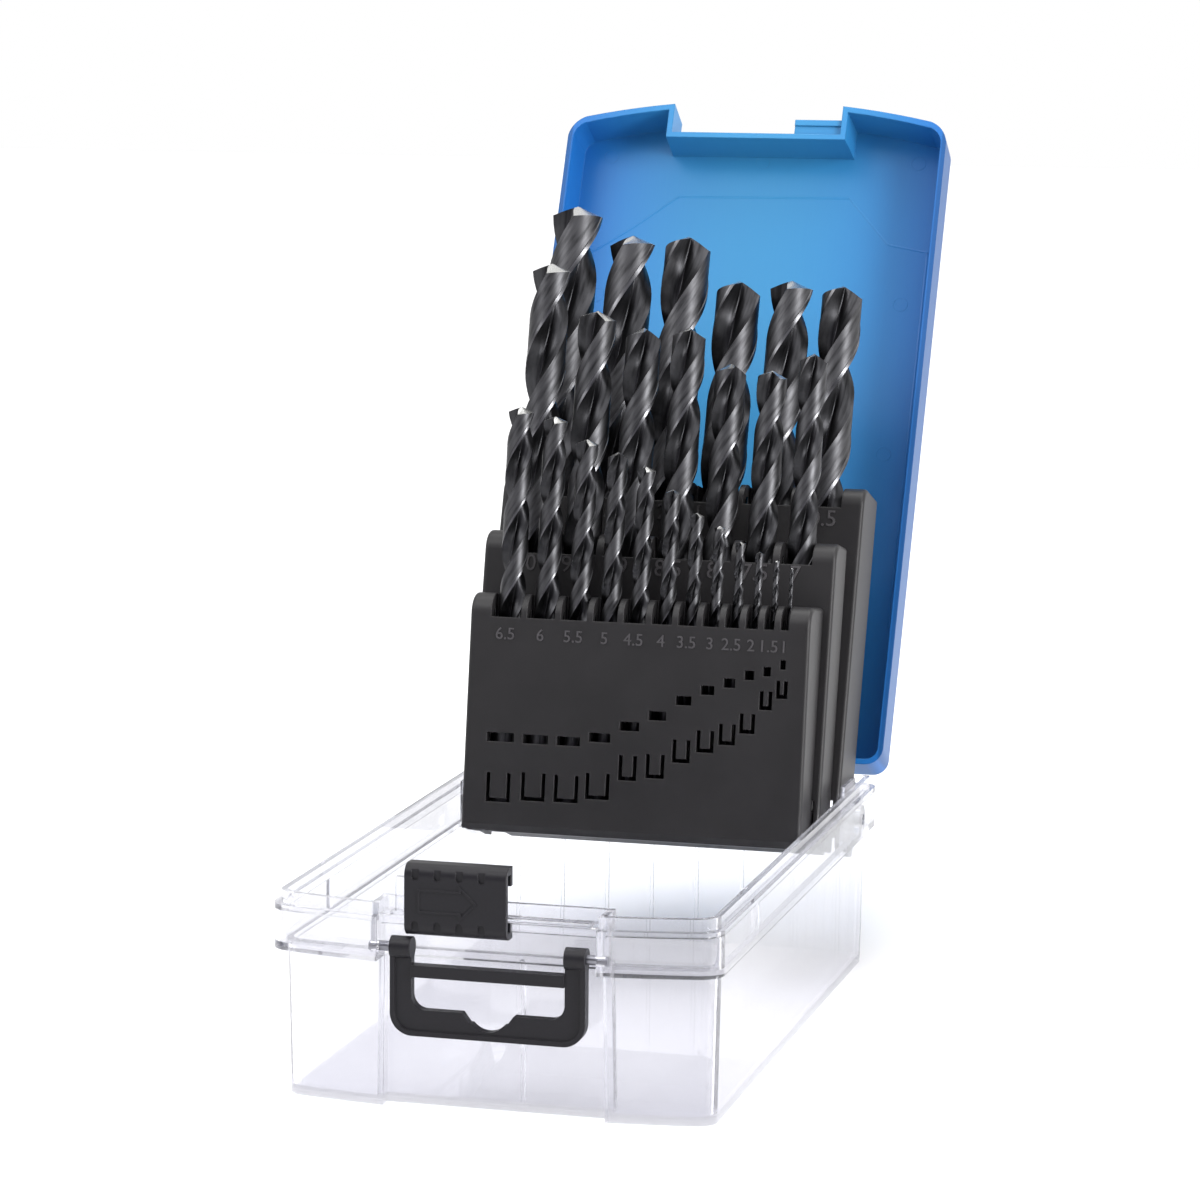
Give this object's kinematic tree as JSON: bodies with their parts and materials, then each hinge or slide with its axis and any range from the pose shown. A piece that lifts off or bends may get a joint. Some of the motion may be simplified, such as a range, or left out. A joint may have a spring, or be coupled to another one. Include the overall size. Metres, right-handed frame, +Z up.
{
  "type": "drill bit case",
  "caption": "Folding drill bit case: clear base, hinged blue lid, three stepped swing-up racks, sliding latch, bail handle and a graded row of twist drills.",
  "frame": {"origin": "centre of the base's underside, on the surface that it stands on", "axes": "+X across the case to the right seen from its front, +Y to its back and hinge, +Z up"},
  "size_m": [0.1024, 0.2688, 0.2091],
  "materials": {
    "clear_plastic": "clear polystyrene, polished",
    "blue_plastic": "blue polypropylene, fine brushed sheen",
    "black_plastic": "black polypropylene, satin",
    "black_oxide_steel": "steam-tempered high-speed steel with ground points",
    "pin_steel": "drawn steel pin"
  },
  "bodies": {
    "base": {"base_shell": "clear_plastic", "rack_pivot_pins": "pin_steel", "hinge_pins": "pin_steel", "handle_pins": "pin_steel"},
    "lid": {"lid_shell": "blue_plastic"},
    "handle": {"handle": "black_plastic"},
    "latch": {"latch_slider": "black_plastic"},
    "rack_front": {"rack_front": "black_plastic"},
    "drill_6_5": {"drill_6_5": "black_oxide_steel"},
    "drill_6_0": {"drill_6_0": "black_oxide_steel"},
    "drill_5_5": {"drill_5_5": "black_oxide_steel"},
    "drill_5_0": {"drill_5_0": "black_oxide_steel"},
    "drill_4_5": {"drill_4_5": "black_oxide_steel"},
    "drill_4_0": {"drill_4_0": "black_oxide_steel"},
    "drill_3_5": {"drill_3_5": "black_oxide_steel"},
    "drill_3_0": {"drill_3_0": "black_oxide_steel"},
    "drill_2_5": {"drill_2_5": "black_oxide_steel"},
    "drill_2_0": {"drill_2_0": "black_oxide_steel"},
    "drill_1_5": {"drill_1_5": "black_oxide_steel"},
    "drill_1_0": {"drill_1_0": "black_oxide_steel"},
    "rack_middle": {"rack_middle": "black_plastic"},
    "drill_10_0": {"drill_10_0": "black_oxide_steel"},
    "drill_9_5": {"drill_9_5": "black_oxide_steel"},
    "drill_9_0": {"drill_9_0": "black_oxide_steel"},
    "drill_8_5": {"drill_8_5": "black_oxide_steel"},
    "drill_8_0": {"drill_8_0": "black_oxide_steel"},
    "drill_7_5": {"drill_7_5": "black_oxide_steel"},
    "drill_7_0": {"drill_7_0": "black_oxide_steel"},
    "rack_back": {"rack_back": "black_plastic"},
    "drill_13_0": {"drill_13_0": "black_oxide_steel"},
    "drill_12_5": {"drill_12_5": "black_oxide_steel"},
    "drill_12_0": {"drill_12_0": "black_oxide_steel"},
    "drill_11_5": {"drill_11_5": "black_oxide_steel"},
    "drill_11_0": {"drill_11_0": "black_oxide_steel"},
    "drill_10_5": {"drill_10_5": "black_oxide_steel"}
  },
  "joints": [
    {"name": "lid_hinge", "type": "hinge", "parent": "base", "child": "lid", "pos_m": [0, 0.0888, 0.0458], "axis": [1, 0, 0], "range_deg": [0, 116]},
    {"name": "latch_slide", "type": "slide", "parent": "base", "child": "latch", "axis": [1, 0, 0], "range_m": [0, 0.0182]},
    {"name": "handle_hinge", "type": "hinge", "parent": "base", "child": "handle", "pos_m": [0, -0.0884, 0.0366], "axis": [-1, 0, 0], "range_deg": [0, 90]},
    {"name": "rack_front_hinge", "type": "hinge", "parent": "base", "child": "rack_front", "pos_m": [0, 0.068, 0.0382], "axis": [1, 0, 0], "range_deg": [0, 99.05]},
    {"name": "drill_6_5_slide", "type": "slide", "parent": "rack_front", "child": "drill_6_5", "axis": [0, -0.1564, -0.9877], "range_m": [-0.0552, 0]},
    {"name": "drill_6_0_slide", "type": "slide", "parent": "rack_front", "child": "drill_6_0", "axis": [0, -0.1564, -0.9877], "range_m": [-0.0493, 0]},
    {"name": "drill_5_5_slide", "type": "slide", "parent": "rack_front", "child": "drill_5_5", "axis": [0, -0.1564, -0.9877], "range_m": [-0.0546, 0]},
    {"name": "drill_5_0_slide", "type": "slide", "parent": "rack_front", "child": "drill_5_0", "axis": [0, -0.1564, -0.9877], "range_m": [-0.0504, 0]},
    {"name": "drill_4_5_slide", "type": "slide", "parent": "rack_front", "child": "drill_4_5", "axis": [0, -0.1564, -0.9877], "range_m": [-0.0477, 0]},
    {"name": "drill_4_0_slide", "type": "slide", "parent": "rack_front", "child": "drill_4_0", "axis": [0, -0.1564, -0.9877], "range_m": [-0.048, 0]},
    {"name": "drill_3_5_slide", "type": "slide", "parent": "rack_front", "child": "drill_3_5", "axis": [0, -0.1564, -0.9877], "range_m": [-0.0484, 0]},
    {"name": "drill_3_0_slide", "type": "slide", "parent": "rack_front", "child": "drill_3_0", "axis": [0, -0.1564, -0.9877], "range_m": [-0.0423, 0]},
    {"name": "drill_2_5_slide", "type": "slide", "parent": "rack_front", "child": "drill_2_5", "axis": [0, -0.1564, -0.9877], "range_m": [-0.0419, 0]},
    {"name": "drill_2_0_slide", "type": "slide", "parent": "rack_front", "child": "drill_2_0", "axis": [0, -0.1564, -0.9877], "range_m": [-0.0362, 0]},
    {"name": "drill_1_5_slide", "type": "slide", "parent": "rack_front", "child": "drill_1_5", "axis": [0, -0.1564, -0.9877], "range_m": [-0.0291, 0]},
    {"name": "drill_1_0_slide", "type": "slide", "parent": "rack_front", "child": "drill_1_0", "axis": [0, -0.1564, -0.9877], "range_m": [-0.0247, 0]},
    {"name": "rack_middle_hinge", "type": "hinge", "parent": "base", "child": "rack_middle", "pos_m": [0, 0.068, 0.0382], "axis": [1, 0, 0], "range_deg": [0, 99.75]},
    {"name": "drill_10_0_slide", "type": "slide", "parent": "rack_middle", "child": "drill_10_0", "axis": [0, -0.2368, -0.9715], "range_m": [-0.0654, 0]},
    {"name": "drill_9_5_slide", "type": "slide", "parent": "rack_middle", "child": "drill_9_5", "axis": [0, -0.2368, -0.9715], "range_m": [-0.069, 0]},
    {"name": "drill_9_0_slide", "type": "slide", "parent": "rack_middle", "child": "drill_9_0", "axis": [0, -0.2368, -0.9715], "range_m": [-0.0729, 0]},
    {"name": "drill_8_5_slide", "type": "slide", "parent": "rack_middle", "child": "drill_8_5", "axis": [0, -0.2368, -0.9715], "range_m": [-0.0646, 0]},
    {"name": "drill_8_0_slide", "type": "slide", "parent": "rack_middle", "child": "drill_8_0", "axis": [0, -0.2368, -0.9715], "range_m": [-0.0732, 0]},
    {"name": "drill_7_5_slide", "type": "slide", "parent": "rack_middle", "child": "drill_7_5", "axis": [0, -0.2368, -0.9715], "range_m": [-0.0666, 0]},
    {"name": "drill_7_0_slide", "type": "slide", "parent": "rack_middle", "child": "drill_7_0", "axis": [0, -0.2368, -0.9715], "range_m": [-0.0621, 0]},
    {"name": "rack_back_hinge", "type": "hinge", "parent": "base", "child": "rack_back", "pos_m": [0, 0.068, 0.0382], "axis": [1, 0, 0], "range_deg": [0, 104.85]},
    {"name": "drill_13_0_slide", "type": "slide", "parent": "rack_back", "child": "drill_13_0", "axis": [0, -0.3305, -0.9438], "range_m": [-0.0789, 0]},
    {"name": "drill_12_5_slide", "type": "slide", "parent": "rack_back", "child": "drill_12_5", "axis": [0, -0.3305, -0.9438], "range_m": [-0.0863, 0]},
    {"name": "drill_12_0_slide", "type": "slide", "parent": "rack_back", "child": "drill_12_0", "axis": [0, -0.3305, -0.9438], "range_m": [-0.0862, 0]},
    {"name": "drill_11_5_slide", "type": "slide", "parent": "rack_back", "child": "drill_11_5", "axis": [0, -0.3305, -0.9438], "range_m": [-0.0885, 0]},
    {"name": "drill_11_0_slide", "type": "slide", "parent": "rack_back", "child": "drill_11_0", "axis": [0, -0.3305, -0.9438], "range_m": [-0.0881, 0]},
    {"name": "drill_10_5_slide", "type": "slide", "parent": "rack_back", "child": "drill_10_5", "axis": [0, -0.3305, -0.9438], "range_m": [-0.0801, 0]}
  ],
  "couplings": [
    {"joint": "rack_front_hinge", "follows": "lid_hinge", "ratio": 0.85345},
    {"joint": "rack_middle_hinge", "follows": "lid_hinge", "ratio": 0.85948},
    {"joint": "rack_back_hinge", "follows": "lid_hinge", "ratio": 0.90345}
  ]
}
